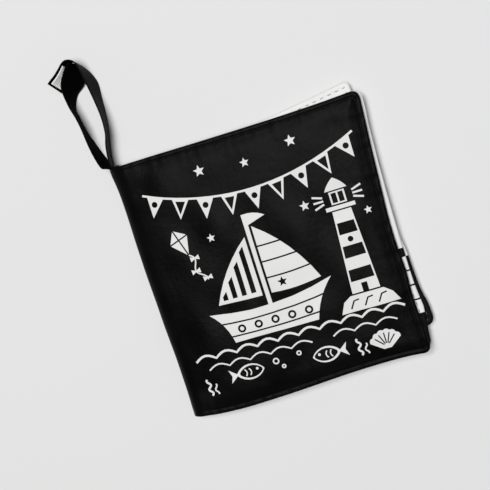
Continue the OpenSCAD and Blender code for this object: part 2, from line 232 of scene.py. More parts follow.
@dataclass(frozen=True)
class Fabric:
    """Finish of a woven fabric, plain or printed."""

    name: str
    colour: tuple[float, float, float]
    pitch: float = 0.5 * MM
    weave: Weave = Weave.PLAIN
    roughness: float = 0.85
    sheen: float = 0.0
    specular: float = 0.2
    relief: float = 0.25
    mottle: float = 0.15
    uneven: float = 0.1

    CLOUD_SCALE = 55.0
    ROUGH_SPREAD = 0.08
    FIBRES_A_THREAD = 0.7
    SLACK_SCALE = 330.0
    SLACK_H = 0.3 * MM

    def build(self) -> bpy.types.Material:
        """Makes the node material with weave bump, fibre grain and cloudy colour.

        Returns:
            The material.
        """
        made = bpy.data.materials.new(self.name)
        made.use_nodes = True
        tree = made.node_tree
        shader = tree.nodes["Principled BSDF"]
        shader.inputs["Specular IOR Level"].default_value = self.specular
        shader.inputs["Sheen Weight"].default_value = self.sheen
        shader.inputs["Sheen Roughness"].default_value = 0.5
        place = add_node(tree, "ShaderNodeTexCoord")
        where = {"Vector": place.outputs["Object"]}
        cloud = add_node(tree, "ShaderNodeTexNoise", {"Scale": self.CLOUD_SCALE, "Detail": 6.0}, where)
        shades = add_node(tree, "ShaderNodeValToRGB", sources={"Fac": cloud.outputs["Fac"]})
        for k, (position, share) in enumerate(((0.3, 1.0 - self.mottle), (0.7, 1.0 + self.mottle))):
            shades.color_ramp.elements[k].position = position
            shades.color_ramp.elements[k].color = (*[min(1.0, c * share) for c in self.colour], 1.0)
        rough = add_node(tree, "ShaderNodeMapRange",
                         {"To Min": self.roughness - self.ROUGH_SPREAD,
                          "To Max": min(1.0, self.roughness + self.ROUGH_SPREAD)},
                         {"Value": cloud.outputs["Fac"]})
        fibre = add_node(tree, "ShaderNodeTexNoise",
                         {"Scale": self.FIBRES_A_THREAD / self.pitch, "Detail": 3.0}, where)
        both = add_node(tree, "ShaderNodeMath", operation="ADD",
                        sources={0: self._threads(tree, place), 1: fibre.outputs["Fac"]})
        slack = add_node(tree, "ShaderNodeTexNoise", {"Scale": self.SLACK_SCALE, "Detail": 2.0}, where)
        loose = add_node(tree, "ShaderNodeBump", {"Strength": self.uneven, "Distance": self.SLACK_H},
                         {"Height": slack.outputs["Fac"]})
        bump = add_node(tree, "ShaderNodeBump", {"Strength": self.relief, "Distance": 0.25 * self.pitch},
                        {"Height": both.outputs[0], "Normal": loose.outputs["Normal"]})
        for name, socket in (("Base Color", shades.outputs["Color"]), ("Roughness", rough.outputs["Result"]),
                             ("Normal", bump.outputs["Normal"])):
            tree.links.new(socket, shader.inputs[name])
        return made

    def _threads(self, tree: bpy.types.NodeTree, place: bpy.types.Node) -> bpy.types.NodeSocket:
        """Height of the crossing threads.

        Args:
            tree: Node tree of the material.
            place: Its texture coordinate node.

        Returns:
            Socket with values from 0 to 1.
        """
        if self.weave is Weave.NAP:
            nap = add_node(tree, "ShaderNodeTexVoronoi", {"Scale": 1.0 / self.pitch},
                           {"Vector": place.outputs["Object"]})
            return nap.outputs["Distance"]
        source = {"Vector": place.outputs["UV" if self.weave is Weave.RIB else "Object"]}
        values = {"Scale": math.pi / 10 / self.pitch, "Distortion": 0.4, "Detail": 1.0}
        rows = [add_node(tree, "ShaderNodeTexWave", values, source, bands_direction=axis).outputs["Fac"]
                for axis in ("X", "Y")]
        if self.weave is Weave.RIB:
            return rows[0]
        cross = add_node(tree, "ShaderNodeMath", sources=dict(enumerate(rows)), operation="MULTIPLY")
        return cross.outputs[0]


@dataclass
class Outline:
    """Plan of a sewn sheet: four sides that run counterclockwise from the hinge side's foot."""

    foot: Sequence[Point]
    fore: Sequence[Point]
    top: Sequence[Point]
    hinge: Sequence[Point]
    radii: tuple[float, float, float, float]
    sides: list[np.ndarray] = field(init=False)
    ring: np.ndarray = field(init=False)
    ring_side: np.ndarray = field(init=False)

    def __post_init__(self) -> None:
        """Rounds the corners and lays out the ring of edge points."""
        raw = [through(side) * MM for side in (self.foot, self.fore, self.top, self.hinge)]
        cut = []
        for i, side in enumerate(raw):
            run = lengths(side)
            start, end = self.radii[i], run[-1] - self.radii[(i + 1) % 4]
            cut.append(at_length(side, np.linspace(start, end, 110)))
        self.sides = []
        for i, side in enumerate(cut):
            before = self._corner(cut[i - 1][-1], raw[i][0], side[0])
            after = self._corner(side[-1], raw[i][-1], cut[(i + 1) % 4][0])
            self.sides.append(np.vstack([before[len(before) // 2:-1], side, after[1:len(after) // 2 + 1]]))
        rings, marks = [], []
        for i, side in enumerate(self.sides):
            rings.append(side[:-1])
            marks.append(np.full(len(side) - 1, i))
        self.ring = np.vstack(rings)
        self.ring_side = np.concatenate(marks)

    @staticmethod
    def _corner(a: np.ndarray, corner: np.ndarray, b: np.ndarray) -> np.ndarray:
        """Rounded corner from a to b."""
        f = np.linspace(0, 1, 21)[:, None]
        return (1 - f) ** 2 * a + 2 * f * (1 - f) * corner + f**2 * b

    def patch(self, u: np.ndarray, v: np.ndarray) -> np.ndarray:
        """Plan position of a grid that fills the outline.

        Args:
            u: Shares from the hinge side to the fore edge.
            v: Shares from the foot to the top.

        Returns:
            Array of shape (len(u), len(v), 2).
        """
        foot, fore = self.sides[0], self.sides[1]
        top, hinge = self.sides[2][::-1], self.sides[3][::-1]
        low, high = (at_length(side, u * lengths(side)[-1])[:, None] for side in (foot, top))
        left, right = (at_length(side, v * lengths(side)[-1])[None] for side in (hinge, fore))
        uu, vv = u[:, None, None], v[None, :, None]
        corners = ((1 - uu) * (1 - vv) * foot[0] + uu * (1 - vv) * foot[-1]
                   + uu * vv * top[-1] + (1 - uu) * vv * top[0])
        return (1 - vv) * low + vv * high + (1 - uu) * left + uu * right - corners

    def nearest(self, points: np.ndarray, sides: Sequence[int]) -> tuple[np.ndarray, np.ndarray]:
        """Distance from points to some of the sides, and how far along the ring the nearest place is.

        Args:
            points: Plan positions, one a row.
            sides: Indices of the sides that count.

        Returns:
            Distances and places along the ring.
        """
        closed = np.vstack([self.ring, self.ring[:1]])
        run = lengths(closed)
        used = np.isin(self.ring_side, sides)
        a, b, s = closed[:-1][used], closed[1:][used], run[:-1][used]
        step = b - a
        size = np.maximum((step**2).sum(1), 1e-18)
        far, along = [], []
        for part in np.array_split(points, max(1, len(points) // 2000)):
            f = np.clip(((part[:, None] - a) * step).sum(2) / size, 0, 1)
            gap = np.linalg.norm(part[:, None] - a - f[..., None] * step, axis=2)
            best = gap.argmin(1)
            rows = np.arange(len(part))
            far.append(gap[rows, best])
            along.append(s[best] + f[rows, best] * np.sqrt(size[best]))
        return np.concatenate(far), np.concatenate(along)

    def inset(self, depth: float, sides: Sequence[int]) -> np.ndarray:
        """Line at a distance inside the edge, along some neighbouring sides.

        Args:
            depth: Distance from the edge.
            sides: Indices of the sides, in order.

        Returns:
            Plan positions, one a row.
        """
        line = np.vstack([self.sides[i][:-1] for i in sides])
        way = np.gradient(line, axis=0)
        way /= np.linalg.norm(way, axis=1)[:, None]
        return line + depth * np.stack([-way[:, 1], way[:, 0]], axis=1)


@dataclass(frozen=True)
class Quilting:
    """Section of a padded sheet from its rim inwards."""

    thickness: float
    rim: float = 1.7 * MM
    edge: float = 1.1 * MM
    stitch_in: float = 3.0 * MM
    groove: float = 0.24 * MM
    groove_w: float = 0.5 * MM
    shoulder: float = 8.0 * MM
    crown: float = 0.3 * MM
    wrinkle: float = 0.3 * MM
    pucker: float = 0.13 * MM
    swell: float = 0.6


@dataclass
class Inflation:
    """Cloth simulation of a stuffed sheet, read back as a map of swelling and folds of both faces."""

    outline: Outline
    thickness: float
    seam: float
    seed: int
    cells: tuple[int, int] = (46, 50)
    frames: int = 20
    cap: float = 1.1 * MM
    pressure: float = 4.0
    puff: float = 0.25
    puff_run: float = 6 * MM
    stir: float = 0.06 * MM

    def run(self) -> dict[Face, np.ndarray]:
        """Stuffs a coarse copy of the sheet by pressure, sewn down along its edge.

        Returns:
            For each face, outward movement on a grid of shares across the sheet.
        """
        n, m = self.cells
        plan = self.outline.patch(np.linspace(0, 1, n), np.linspace(0, 1, m)).reshape(-1, 2)
        rim = np.zeros((n, m), bool)
        rim[[0, -1], :] = rim[:, [0, -1]] = True
        rim = rim.ravel()
        d, _ = self.outline.nearest(plan, (0, 1, 2, 3))
        stir = np.random.default_rng(self.seed).normal(0, self.stir, (2, n * m))
        lift = np.where(rim, 0, self.puff * self.thickness * ease(d / self.puff_run))
        points = np.vstack([np.column_stack([plan, lift + np.where(rim, 0, stir[0])]),
                            np.column_stack([plan, -lift + np.where(rim, 0, stir[1])])])
        index = np.arange(n * m)
        under = np.where(rim, index, index + n * m)
        faces = []
        for i in range(n - 1):
            for j in range(m - 1):
                a = np.array([i * m + j, (i + 1) * m + j, (i + 1) * m + j + 1, i * m + j + 1])
                faces.append(tuple(int(k) for k in a))
                faces.append(tuple(int(under[k]) for k in a[::-1]))
        mesh = bpy.data.meshes.new("stuffed")
        mesh.from_pydata(points.tolist(), [], faces)
        body = put_in_scene("stuffed", mesh)
        sewn = body.vertex_groups.new(name="seam")
        sewn.add([int(k) for k in np.flatnonzero(np.tile(d < self.seam + 0.6 * MM, 2))], 1.0, "REPLACE")
        moved = self._simulate(body)
        bpy.data.objects.remove(body)
        bpy.data.meshes.remove(mesh)
        out = {}
        for face, part in ((Face.UPPER, slice(0, n * m)), (Face.LOWER, slice(n * m, 2 * n * m))):
            swell = (face.value * (moved[part, 2] - points[part, 2])).reshape(n, m)
            swell = np.clip(swell, -self.cap, self.cap)
            soft = swell
            for _ in range(3):
                near = [np.roll(soft, step, axis) for axis in (0, 1) for step in (1, -1)]
                soft = (near[0] + near[1] + near[2] + near[3] + 2 * soft) / 6
            LOG.info("simulated swelling %.2f to %.2f mm, folds %.2f mm", swell.min() / MM, swell.max() / MM,
                     (swell - soft).std() / MM)
            out[face] = soft
        return out

    def _simulate(self, body: bpy.types.Object) -> np.ndarray:
        """Runs the cloth for the set number of frames.

        Args:
            body: The stuffed sheet, with its seam as a vertex group.

        Returns:
            Positions of its points at the end.
        """
        cloth = body.modifiers.new("cloth", "CLOTH")
        settings = cloth.settings
        settings.quality = 5
        settings.mass = 0.2
        settings.tension_stiffness = settings.compression_stiffness = 12.0
        settings.shear_stiffness = 6.0
        settings.bending_stiffness = 0.3
        settings.shrink_min = -0.03
        settings.use_pressure = True
        settings.uniform_pressure_force = self.pressure
        settings.effector_weights.gravity = 0.0
        settings.vertex_group_mass = "seam"
        cloth.collision_settings.use_collision = False
        cloth.point_cache.frame_start, cloth.point_cache.frame_end = 1, self.frames
        scene = bpy.context.scene
        for frame_number in range(1, self.frames + 1):
            scene.frame_set(frame_number)
        shaped = body.evaluated_get(bpy.context.evaluated_depsgraph_get())
        result = np.array([v.co[:] for v in shaped.data.vertices])
        body.modifiers.remove(cloth)
        scene.frame_set(1)
        return result


@dataclass
class PaddedSheet:
    """A padded cloth sheet: crowned closed form with a rounded rim and a sewn channel."""

    name: str
    outline: Outline
    quilting: Quilting
    middle_z: float
    material: bpy.types.Material
    seed: int
    proud: Face | None = None
    spine_curve: np.ndarray | None = None
    made: bpy.types.Object = field(init=False)
    tree: BVHTree = field(init=False)

    CLOTH = 0.35 * MM
    PADDED_FROM = -76 * MM
    PADDED_RUN = 30 * MM
    GRID = 1.4 * MM
    EDGE_STEPS = (0.0, 0.12, 0.35, 0.7, 1.1, 1.6, 2.1, 2.5, 2.8, 3.1, 3.5, 4.1, 4.9, 5.8, 6.9, 8.1)

    def _shares(self, span: float) -> np.ndarray:
        """Grid shares across a span, close together near both edges.

        Args:
            span: Length of the span.

        Returns:
            Shares from 0 to 1.
        """
        near = np.array(self.EDGE_STEPS) * MM
        inner = np.linspace(near[-1], span - near[-1], max(2, round((span - 2 * near[-1]) / self.GRID)) + 1)
        return np.concatenate([near, inner[1:-1], span - near[::-1]]) / span

    def _taper(self, x: np.ndarray) -> np.ndarray:
        """How far the sheet is padded.

        Args:
            x: Flat positions across the sheet.

        Returns:
            1 where it is padded, 0 where it is only cloth round the spine.
        """
        if self.spine_curve is None:
            return np.ones_like(x)
        return ease((x - self.PADDED_FROM) / self.PADDED_RUN)

    def level(self, face: Face) -> float:
        """Height of a face of the sheet before it is crowned."""
        return self.middle_z + face.value * self.quilting.thickness / 2

    def _half(self, plan: np.ndarray, d: np.ndarray, s: np.ndarray, face: Face,
              relief: np.ndarray) -> np.ndarray:
        """Distance from the middle of the sheet to one of its faces.

        Args:
            plan: Flat positions of the grid.
            d: Distance from each to the free edge.
            s: Place along the edge that is nearest to each.
            face: The face that is wanted.
            relief: Simulated outward movement at each.

        Returns:
            One distance a position.
        """
        q = self.quilting
        x, y = plan[:, 0], plan[:, 1]
        taper = self._taper(x)
        thin = self.CLOTH
        rim = thin + (q.rim / 2 - thin) * np.maximum(taper, 0.35)
        pad = thin + (q.thickness / 2 - thin) * taper
        edge = np.sqrt(np.clip(1 - (1 - np.clip(d / q.edge, 0, 1)) ** 2, 0, 1))
        rise = ease((d - q.stitch_in) / q.shoulder) ** 0.75
        h = rim * edge + (pad - rim) * rise
        h = h + 0.06 * MM * np.sin(np.pi * np.clip((d - 0.5 * MM) / (q.stitch_in - 0.5 * MM), 0, 1)) * taper
        h = h - q.groove * np.exp(-(((d - q.stitch_in) / q.groove_w) ** 2)) * (0.35 + 0.65 * taper)
        inside = np.maximum(d - q.stitch_in, 0)
        ripple = Waves(self.seed + face.value, 3.6 * MM, 8 * MM, 7)(s, 0 * s)
        h = h + q.pucker * ripple * np.exp(-inside / (4.5 * MM)) * ease(d / (1.5 * MM))
        share = 1.0 if face is self.proud else 0.3
        field_ = ease((d - 3.5 * MM) / (14 * MM)) * (0.25 + 0.75 * taper)
        folds = Waves(self.seed + 20 + face.value, 17 * MM, 52 * MM, 11)(x, y)
        h = h + share * (q.wrinkle * folds + q.swell * relief) * field_
        dome = 1 - np.exp(-np.maximum(d - 4 * MM, 0) / (16 * MM))
        h = h + (q.crown if face is self.proud else 0) * dome * taper
        if self.spine_curve is not None:
            h = h * ease((x - self.outline.hinge[0][0] * MM + 0.9 * MM) / (1.1 * MM)) ** 0.5
        return np.maximum(h, 0.0)

    def _bend(self, plan: np.ndarray, offset: np.ndarray) -> np.ndarray:
        """Places points of the flat sheet in space, rolled round the spine where it has a curve.

        Args:
            plan: Flat positions.
            offset: Signed distance of each from the middle of the sheet.

        Returns:
            Positions in space.
        """
        points = np.column_stack([plan, self.middle_z + offset])
        if self.spine_curve is None:
            return points
        start = self.spine_curve[0, 0]
        past = start - plan[:, 0]
        roll = past > 0
        run = lengths(self.spine_curve)[-1]
        where = np.clip(past[roll], 0, run)
        centre = at_length(self.spine_curve, where)
        ahead = at_length(self.spine_curve, np.clip(where + 0.2 * MM, 0, run))
        behind = at_length(self.spine_curve, np.clip(where - 0.2 * MM, 0, run))
        way = ahead - behind
        way /= np.linalg.norm(way, axis=1)[:, None]
        y = plan[roll, 1]
        slack = 1 + 0.1 * ease((y + 55 * MM) / (70 * MM)) + 0.05 * ease((y - 58 * MM) / (16 * MM))
        points[roll, 0] = start - (start - centre[:, 0] - way[:, 1] * offset[roll]) * slack
        points[roll, 2] = centre[:, 1] - way[:, 0] * offset[roll]
        return points

    def _relief(self, u: np.ndarray, v: np.ndarray) -> dict[Face, np.ndarray]:
        """Args:
            u: Shares of the grid from the hinge side to the fore edge.
            v: Shares of the grid from the foot to the top.

        Returns:
            For each face, outward movement at each point of the grid.
        """
        coarse = Inflation(self.outline, self.quilting.thickness, self.quilting.stitch_in, self.seed).run()
        fine = {}
        for face, swell in coarse.items():
            n, m = swell.shape
            rows = np.array([np.interp(v, np.linspace(0, 1, m), row) for row in swell])
            both = np.array([np.interp(u, np.linspace(0, 1, n), column) for column in rows.T]).T
            fine[face] = (both - np.median(both)).ravel()
        return fine

    def build(self) -> bpy.types.Object:
        """Makes the closed mesh and the tree that other pieces are laid on.

        Returns:
            The sheet.
        """
        o = self.outline
        u = self._shares(lengths(o.sides[0])[-1])
        v = self._shares(lengths(o.sides[1])[-1])
        plan = o.patch(u, v).reshape(-1, 2)
        n, m = len(u), len(v)
        index = np.arange(n * m).reshape(n, m)
        rim = np.zeros((n, m), bool)
        rim[[0, -1], :] = rim[:, [0, -1]] = True
        d, s = o.nearest(plan, (0, 1, 2))
        relief = self._relief(u, v)
        upper, lower = (
            self._bend(plan, face.value * np.where(rim.ravel(), 0,
                                                   self._half(plan, d, s, face, relief[face])))
            for face in (Face.UPPER, Face.LOWER))
        under = np.where(rim, index, index + n * m)
        faces = []
        for i in range(n - 1):
            for j in range(m - 1):
                faces.append((index[i, j], index[i + 1, j], index[i + 1, j + 1], index[i, j + 1]))
                faces.append((under[i, j], under[i, j + 1], under[i + 1, j + 1], under[i + 1, j]))
        used = np.unique(np.array(faces).ravel())
        remap = np.zeros(2 * n * m, int)
        remap[used] = np.arange(len(used))
        points = np.vstack([upper, lower])[used]
        faces = [tuple(int(remap[k]) for k in f) for f in faces]
        self.made = make_object(self.name, points, faces, self.material)
        self.tree = BVHTree.FromPolygons([Vector(p) for p in points], faces)
        return self.made

    def surface(self, x: float, y: float, face: Face) -> float:
        """Height of a face above a plan position.

        Args:
            x: Position across the book.
            y: Position along the spine.
            face: The face that is wanted.

        Returns:
            The height, or the sheet's own middle where the position misses it.
        """
        start = Vector((x, y, self.middle_z + face.value * 60 * MM))
        hit = self.tree.ray_cast(start, Vector((0, 0, -face.value)))
        return hit[0].z if hit[0] is not None else self.middle_z


@dataclass
class Topstitch:
    """Rows of thread stitches in the channel of a padded sheet."""

    name: str
    sheet: PaddedSheet
    sides: Sequence[int]
    material: bpy.types.Material
    start_x: float
    stitch: float = 3.2 * MM
    gap: float = 1.4 * MM
    radius: float = 0.26 * MM

    def build(self) -> bpy.types.Object:
        """Lays one dash of thread after another along both faces.

        Returns:
            All stitches as one piece.
        """
        line = self.sheet.outline.inset(self.sheet.quilting.stitch_in, self.sides)
        line = line[line[:, 0] > self.start_x]
        total = lengths(line)[-1]
        count = int(total // (self.stitch + self.gap))
        points, faces = [], []
        for face in Face:
            for k in range(count):
                start = k * (self.stitch + self.gap) + self.gap / 2
                self._dash(at_length(line, start + np.linspace(0, self.stitch, 7)), face, points, faces)
        return make_object(self.name, np.array(points), faces, self.material)

    def _dash(self, plan: np.ndarray, face: Face, points: list, faces: list) -> None:
        """Adds one stitch: a short round thread whose ends dip into the cloth.

        Args:
            plan: Plan positions along the stitch.
            face: The face that it lies on.
            points: List that the vertices are added to.
            faces: List that the faces are added to.
        """
        share = np.linspace(-1, 1, len(plan))
        lift = (0.55 - 1.6 * np.abs(share) ** 3) * self.radius
        z = np.array([self.sheet.surface(p[0], p[1], face) for p in plan])
        z = z[len(z) // 2] * 0.5 + z * 0.5 + face.value * lift
        middle = np.column_stack([plan, z])
        size = self.radius * np.sqrt(np.clip(1 - np.abs(share) ** 4, 0.12, 1))
        tube(middle, size, 6, points, faces)


def tube(middle: np.ndarray, size: np.ndarray, around: int, points: list, faces: list) -> None:
    """Adds a closed tube to lists of points and faces.

    Args:
        middle: Centreline.
        size: Radius at each of its points.
        around: Number of corners of the section.
        points: List that the vertices are added to.
        faces: List that the faces are added to.
    """
    way = np.gradient(middle, axis=0)
    way /= np.linalg.norm(way, axis=1)[:, None]
    guide = np.array([0, 0, 1.0]) if abs(way[:, 2]).max() < 0.9 else np.array([1.0, 0, 0])
    side = np.cross(way, guide)
    side /= np.linalg.norm(side, axis=1)[:, None]
    rise = np.cross(side, way)
    base = len(points)
    for k in range(len(middle)):
        for a in np.linspace(0, 2 * np.pi, around, endpoint=False):
            points.append(middle[k] + size[k] * (math.cos(a) * side[k] + math.sin(a) * rise[k]))
    faces.extend(band_faces(len(middle), around, base))


@dataclass
class DrapedPrint:
    """A printed field of the frame, laid on the cloth that carries it."""

    name: str
    node: str
    carriers: Sequence[tuple[PaddedSheet, Face]]
    material: bpy.types.Material
    pitch: float = 2.6 * MM
    near_rim: float = 1.1 * MM
    rim: float = 12 * MM
    film: float = 0.07 * MM

    RIM_RISE = 0.25 * MM
    OUTER_RISE = 0.07 * MM
    FACE_TILT = 0.7

    def _cuts(self, low: float, high: float) -> np.ndarray:
        """Places of the cuts across one span, close together where the cloth dips to its seam.

        Args:
            low: Start of the span.
            high: End of the span.

        Returns:
            The places, in order.
        """
        inner = np.linspace(low + self.rim, high - self.rim, round((high - low - 2 * self.rim) / self.pitch))
        steps = np.arange(self.near_rim, self.rim, self.near_rim)
        return np.concatenate([low + steps, inner, high - steps[::-1]])

    def build(self) -> bpy.types.Object:
        """Copies the node's mesh, cuts it finely and lays it on the cloth.

        Returns:
            The printed field.
        """
        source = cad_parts[self.node].data
        cut = bmesh.new()
        cut.from_mesh(source)
        bmesh.ops.remove_doubles(cut, verts=cut.verts, dist=1e-6)
        rims = [v for v in cut.verts if self._off_level(v.co.z) > self.RIM_RISE]
        bmesh.ops.delete(cut, geom=rims, context="VERTS")
        low = np.min([v.co for v in cut.verts], axis=0)
        high = np.max([v.co for v in cut.verts], axis=0)
        for axis in (0, 1):
            normal = [0.0, 0.0, 0.0]
            normal[axis] = 1.0
            for place in self._cuts(low[axis], high[axis]):
                at = [0.0, 0.0, 0.0]
                at[axis] = float(place)
                geometry = [*cut.verts, *cut.edges, *cut.faces]
                bmesh.ops.bisect_plane(cut, geom=geometry, plane_co=at, plane_no=normal, dist=1e-7)
        for vertex in cut.verts:
            sheet, face, outer = self._carrier(vertex.co.z)
            z = sheet.surface(vertex.co.x, vertex.co.y, face)
            vertex.co.z = z + face.value * self.film * (1 if outer else -1)
        bmesh.ops.triangulate(cut, faces=[f for f in cut.faces if len(f.verts) > 4])
        mesh = bpy.data.meshes.new(self.name)
        cut.to_mesh(mesh)
        cut.free()
        mesh.materials.clear()
        mesh.materials.append(self.material)
        for polygon in mesh.polygons:
            polygon.use_smooth = abs(polygon.normal.z) > self.FACE_TILT
            polygon.material_index = 0
        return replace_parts(put_in_scene(self.name, mesh), self.node)

    def _off_level(self, z: float) -> float:
        """How far a height lies from the nearest carrying face."""
        return min(abs(sheet.level(face) - z) for sheet, face in self.carriers)

    def _carrier(self, z: float) -> tuple[PaddedSheet, Face, bool]:
        """The place in the book that a height of the node belongs to.

        Args:
            z: Height of a vertex.

        Returns:
            The sheet and face that carry it, and whether it is on the print's outer side.
        """
        sheet, face = min(self.carriers, key=lambda c: abs(c[0].level(c[1]) - z))
        return sheet, face, abs(z - sheet.level(face)) > self.OUTER_RISE


@dataclass
class RimPrint:
    """Ink that runs out over the rim of a sheet at its fore edge."""

    name: str
    sheet: PaddedSheet
    start_x: float
    spans: Sequence[Point]
    material: bpy.types.Material
    film: float = 0.06 * MM
    reach_down: float = 0.25 * MM

    def build(self) -> bpy.types.Object:
        """Copies spans of the sheet's upper face and rim, as thin closed shells over the cloth.

        Returns:
            All spans as one piece.
        """
        whole = bmesh.new()
        for low, high in self.spans:
            part = bmesh.new()
            part.from_mesh(self.sheet.made.data)
            sides = (((self.start_x, 0, 0), (-1, 0, 0)), ((0, low * MM, 0), (0, -1, 0)),
                     ((0, high * MM, 0), (0, 1, 0)),
                     ((0, 0, self.sheet.middle_z - self.reach_down), (0, 0, -1)))
            for place, way in sides:
                bmesh.ops.bisect_plane(part, geom=[*part.verts, *part.edges, *part.faces], dist=1e-7,
                                       plane_co=place, plane_no=way, clear_outer=True)
            part.normal_update()
            for vertex in part.verts:
                vertex.co += vertex.normal * self.film
            bmesh.ops.solidify(part, geom=part.faces[:], thickness=2.2 * self.film)
            piece = bpy.data.meshes.new("span")
            part.to_mesh(piece)
            part.free()
            whole.from_mesh(piece)
            bpy.data.meshes.remove(piece)
        mesh = bpy.data.meshes.new(self.name)
        whole.to_mesh(mesh)
        whole.free()
        mesh.shade_smooth()
        mesh.materials.clear()
        mesh.materials.append(self.material)
        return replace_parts(put_in_scene(self.name, mesh), "page_print")


@dataclass
class Ribbon:
    """The folded ribbon that closes the loop: two tails on edge, sewn in at the top of the spine."""

    material: bpy.types.Material
    inside: bpy.types.Material
    # darker, duller copy of the ribbon finish for the faces turned into the loop: painted shade inside the
    # loop
    width: float = 15.0 * MM
    thickness: float = 0.8 * MM
    root: tuple[float, float, float] = (-73.3 * MM, 75.9 * MM, 7.95 * MM)
    short_tail: Sequence[Sequence[float]] = (
        (-2.05, 0.6, 0.2, -0.12), (-4.1, 2.4, 0.11, -0.22), (-6.4, 5.1, 0, -0.41), (-8.2, 10.9, 0, -0.29),
        (-9.7, 17.5, 0.05, -0.16), (-11.4, 26.7, 0.16, -0.02), (-12.5, 33.7, 0.16, -0.04),
        (-13.5, 39.8, 0.07, 0.08), (-12.1, 47.2, -0.26, 0.1), (-8.8, 53, -0.86, 0.33),
        (-6.3, 57.5, -0.66, 0.36), (-4.4, 63, -0.1, 0.1))
    long_tail: Sequence[Sequence[float]] = (
        (-1.9, 0.9, 0.19, -0.03), (-1.8, 4.2, 0.14, 0.01), (-1.3, 8.2, 0.11, -0.01), (-0.2, 13.9, 0.1, -0.01),
        (1.4, 20.3, 0.14, 0.01), (2.5, 29.8, 0.07, 0.03), (2.3, 41, -0.05, 0.12), (1.9, 50.2, -0.17, 0.05),
        (-0.7, 59.1, -0.03, 0.1), (-4.6, 64.4, 0.23, -0.02), (-7.7, 64.7, 0.03, 0.11),
        (-11, 59.5, -0.24, 0.35), (-14.4, 55.8, -0.37, 0.51), (-18.6, 51.7, -0.55, 0.94))

    ACROSS = 13
    SQUARENESS = 0.45

    def frame_along(self, stations: Sequence[Sequence[float]], start: float = 0, short_of: float = 0,
                    steps: int = 12) -> tuple[np.ndarray, np.ndarray, np.ndarray]:
        """Middle line, edge direction and face direction along a part of a tail.

        Args:
            stations: Across, along and lean of the upper edge at each station.
            start: Station at which the part begins.
            short_of: How many stations before the tail's end it stops.
            steps: Samples between two stations.

        Returns:
            Three arrays with one row a sample.
        """
        end = round((len(stations) - 1 - short_of) * steps) + 1
        rows = through(stations, steps)[round(start * steps):end]
        middle = np.column_stack([rows[:, 0] * MM + self.root[0], rows[:, 1] * MM + self.root[1],
                                  np.full(len(rows), self.root[2])])
        edge = np.column_stack([rows[:, 2], rows[:, 3], np.ones(len(rows))])
        edge /= np.linalg.norm(edge, axis=1)[:, None]
        face = np.cross(np.gradient(middle, axis=0), edge)
        face /= np.linalg.norm(face, axis=1)[:, None]
        return middle, edge, face

    def strip(self, name: str, along: tuple[np.ndarray, np.ndarray, np.ndarray], width: float,
              thickness: float, lift: float, material: bpy.types.Material) -> bpy.types.Object:
        """Closed band along a tail, with thicker woven edges and UVs in metres.

        Args:
            name: Name of the piece.
            along: Middle line, edge direction and face direction.
            width: Width of the band.
            thickness: Its thickness at the edges.
            lift: Distance from the middle line, along the face direction.
            material: Its finish.

        Returns:
            The band.
        """
        middle, edge, face = along
        across = np.linspace(-1, 1, self.ACROSS)
        bead = 0.82 + 0.18 * np.abs(across) ** 6
        rounding = np.clip(1 - (np.abs(across) - 0.97).clip(0) / 0.06, 0.3, 1)
        half = thickness / 2 * bead * np.sqrt(rounding)
        ring = [(a, h) for a, h in zip(across, half)] + [(a, -h) for a, h in zip(across[::-1], half[::-1])]
        run = lengths(middle)
        points, uvs = [], []
        for k in range(len(middle)):
            for a, h in ring:
                points.append(middle[k] + edge[k] * a * width / 2 + face[k] * (lift + h))
                uvs.append((run[k], a * width / 2))
        made = make_object(name, np.array(points), band_faces(len(middle), len(ring)), material)
        layer = made.data.uv_layers.new(name="UVMap")
        for loop in made.data.loops:
            layer.data[loop.index].uv = uvs[loop.vertex_index]
        return made

    def sewn_root(self) -> bpy.types.Object:
        """The folded, sewn end of both tails, tucked in between the covers.

        Returns:
            The sewn end.
        """
        half = np.array([2.1, 0.9, 5.6]) * MM
        middle = np.array([-74.2 * MM, 76.0 * MM, self.root[2]])
        points, rows, around = [], 15, 24
        for i in range(rows):
            tilt = math.pi * (i + 0.5) / rows - math.pi / 2
            for j in range(around):
                turn = 2 * math.pi * j / around
                raw = np.array([math.cos(tilt) * math.cos(turn), math.cos(tilt) * math.sin(turn),
                                math.sin(tilt)])
                points.append(middle + half * np.sign(raw) * np.abs(raw) ** self.SQUARENESS)
        made = make_object("ribbon_root", np.array(points), band_faces(rows, around), self.material)
        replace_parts(made, "strap")
        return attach(made, "leaves")

    def tail(self, name: str, stations: Sequence[Sequence[float]], inner: Face) -> bpy.types.Object:
        """One tail of the ribbon.

        Args:
            name: Name of the piece.
            stations: Stations of its middle line.
            inner: The side of the band that faces into the loop; it gets the darker finish that paints the
                shade inside the loop.

        Returns:
            The tail.
        """
        along = self.frame_along(stations)
        made = self.strip(name, along, self.width, self.thickness, 0, self.material)
        made.data.materials.append(self.inside)
        # the inner faces take the darker copy of the ribbon finish: painted shade inside the loop
        around = 2 * self.ACROSS
        first = 0 if inner is Face.UPPER else self.ACROSS
        for polygon in made.data.polygons[:(len(along[0]) - 1) * around]:
            polygon.material_index = int(first <= polygon.index % around < first + self.ACROSS - 1)
        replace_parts(made, "strap")
        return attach(made, "leaves")


